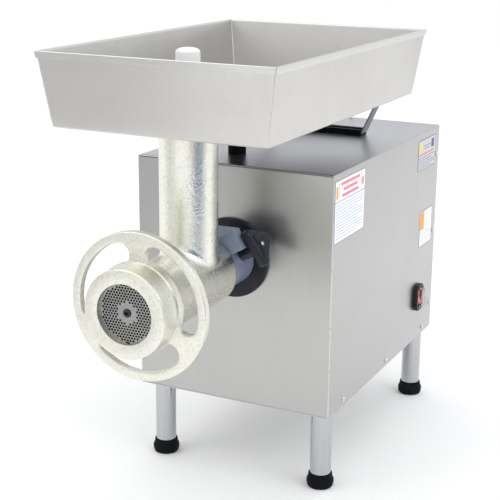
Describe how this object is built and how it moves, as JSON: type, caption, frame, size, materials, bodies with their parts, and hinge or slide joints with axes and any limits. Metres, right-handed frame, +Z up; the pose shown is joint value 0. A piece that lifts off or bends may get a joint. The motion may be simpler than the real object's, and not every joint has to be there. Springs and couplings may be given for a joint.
{
  "type": "electric meat grinder",
  "caption": "Counter-top electric meat grinder: sheet steel cabinet on tube legs, cast barrel with feed column, ring nut hand wheel, perforated plate and a wide feed tray.",
  "frame": {"origin": "on the surface it stands on, under the middle of its bounding box", "axes": "+Z up, the outlet and hand wheel face -Y, the switch is on the +X side"},
  "size_m": [0.366, 0.83, 0.704],
  "materials": {
    "stainless": "fine brushed, satin",
    "sheet_inner": "mill finish",
    "tinned_iron": "hot-tinned, satin, faint grain",
    "wheel_cast": "hot-tinned, hand-dressed",
    "polished_steel": "polished tube",
    "tool_steel": "ground",
    "zinc": "bright zinc plate",
    "rubber_black": "matt",
    "plastic_black": "fine moulded grain",
    "plastic_white": "smooth white plastic",
    "rocker_red": "translucent red",
    "boot_clear": "clear flexible plastic",
    "label": "printed film",
    "gearbox_paint": "satin blue-grey enamel",
    "motor_paint": "satin enamel",
    "gear_steel": "machined, oiled",
    "bearing_steel": "ground",
    "laminations": "lacquered laminations",
    "copper": "enamelled copper",
    "bronze": "turned bronze",
    "fibre": "pressed fibre",
    "chassis_paint": "black primer"
  },
  "bodies": {
    "cabinet": {"cover_wrap": "stainless", "front_panel": "stainless", "rear_panel": "stainless", "base_pan": "sheet_inner", "cabinet_screws": "zinc", "leg_tubes": "polished_steel", "leg_studs": "zinc", "leg_nuts": "zinc", "leg_feet": "rubber_black", "chassis_rails": "chassis_paint", "side_labels": "label", "switch_bezel": "plastic_black", "switch_body": "plastic_black", "switch_boot": "boot_clear", "cable_gland": "plastic_black", "gland_locknut": "plastic_black", "neck_seal": "plastic_black", "gearbox_cover": "gearbox_paint", "gearbox_housing": "gearbox_paint", "gearbox_bolts": "zinc", "oil_plugs": "bronze", "output_front_bearing": "bearing_steel", "output_rear_bearing": "bearing_steel", "output_oil_seal": "rubber_black", "counter_bearings": "bearing_steel", "motor_stator": "laminations", "motor_windings": "copper", "motor_frame": "motor_paint", "motor_front_bell": "motor_paint", "motor_rear_bell": "motor_paint", "motor_bearings": "bearing_steel", "fan_cover": "motor_paint", "terminal_box": "plastic_black", "capacitor": "plastic_black", "wiring": "rubber_black", "support_block": "rubber_black"},
    "output_drive": {"output_shaft": "gear_steel", "output_gear": "gear_steel", "output_key": "gear_steel"},
    "countershaft": {"counter_shaft": "gear_steel", "counter_gear": "gear_steel"},
    "motor_rotor_assembly": {"motor_shaft": "gear_steel", "motor_rotor": "laminations", "motor_fan": "plastic_black"},
    "head": {"head_housing": "tinned_iron", "head_bushing": "bronze", "plate_key_pin": "tool_steel"},
    "feed_screw": {"auger": "tinned_iron", "auger_stud": "tool_steel", "thrust_washer": "fibre", "knife": "tool_steel"},
    "plate": {"cutting_plate": "tool_steel"},
    "ring": {"ring_nut": "wheel_cast"},
    "tray": {"tray_pan": "stainless", "tray_support": "zinc", "strap_sleeve": "rubber_black"},
    "stomper": {"stomper": "plastic_white"},
    "clamp_tip": {"clamp_pad": "bronze"},
    "clamp_screw": {"clamp_knob": "plastic_black"},
    "rocker": {"switch_rocker": "rocker_red"}
  },
  "joints": [
    {"name": "output_spin", "type": "hinge", "parent": "cabinet", "child": "output_drive", "pos_m": [0, -0.063, 0.37], "axis": [0, 1, 0], "continuous": true},
    {"name": "counter_spin", "type": "hinge", "parent": "cabinet", "child": "countershaft", "pos_m": [0, -0.063, 0.29125], "axis": [0, 1, 0], "continuous": true},
    {"name": "motor_spin", "type": "hinge", "parent": "cabinet", "child": "motor_rotor_assembly", "pos_m": [0, 0.092, 0.23125], "axis": [0, 1, 0], "continuous": true},
    {"name": "head_slide", "type": "slide", "parent": "cabinet", "child": "head", "axis": [0, -1, 0], "range_m": [0, 0.1]},
    {"name": "auger_spin", "type": "hinge", "parent": "head", "child": "feed_screw", "pos_m": [0, -0.283, 0.37], "axis": [0, 1, 0], "continuous": true},
    {"name": "plate_slide", "type": "slide", "parent": "head", "child": "plate", "axis": [0, -1, 0], "range_m": [0, 0.045]},
    {"name": "ring_turn", "type": "hinge", "parent": "plate", "child": "ring", "pos_m": [0, -0.388, 0.37], "axis": [0, -1, 0], "range_deg": [0, 3240]},
    {"name": "tray_lift", "type": "slide", "parent": "head", "child": "tray", "axis": [0, 0, 1], "range_m": [0, 0.12]},
    {"name": "stomper_lift", "type": "slide", "parent": "head", "child": "stomper", "axis": [0, 0, 1], "range_m": [0, 0.16]},
    {"name": "clamp_tip_slide", "type": "slide", "parent": "cabinet", "child": "clamp_tip", "axis": [0.866, 0, 0.5], "range_m": [0, 0.0035]},
    {"name": "clamp_turn", "type": "hinge", "parent": "clamp_tip", "child": "clamp_screw", "pos_m": [0.05196, -0.148, 0.4], "axis": [0.866, 0, 0.5], "range_deg": [0, 720]},
    {"name": "rocker_tilt", "type": "hinge", "parent": "cabinet", "child": "rocker", "pos_m": [0.167, 0.305, 0.213], "axis": [0, 1, 0], "range_deg": [0, 20]}
  ],
  "couplings": [
    {"joint": "counter_spin", "follows": "output_spin", "ratio": -2.5},
    {"joint": "motor_spin", "follows": "output_spin", "ratio": 7.5},
    {"joint": "auger_spin", "follows": "output_spin", "ratio": 1},
    {"joint": "plate_slide", "follows": "ring_turn", "m_per_rad": 0.00079577},
    {"joint": "clamp_tip_slide", "follows": "clamp_turn", "m_per_rad": 0.00027852}
  ]
}
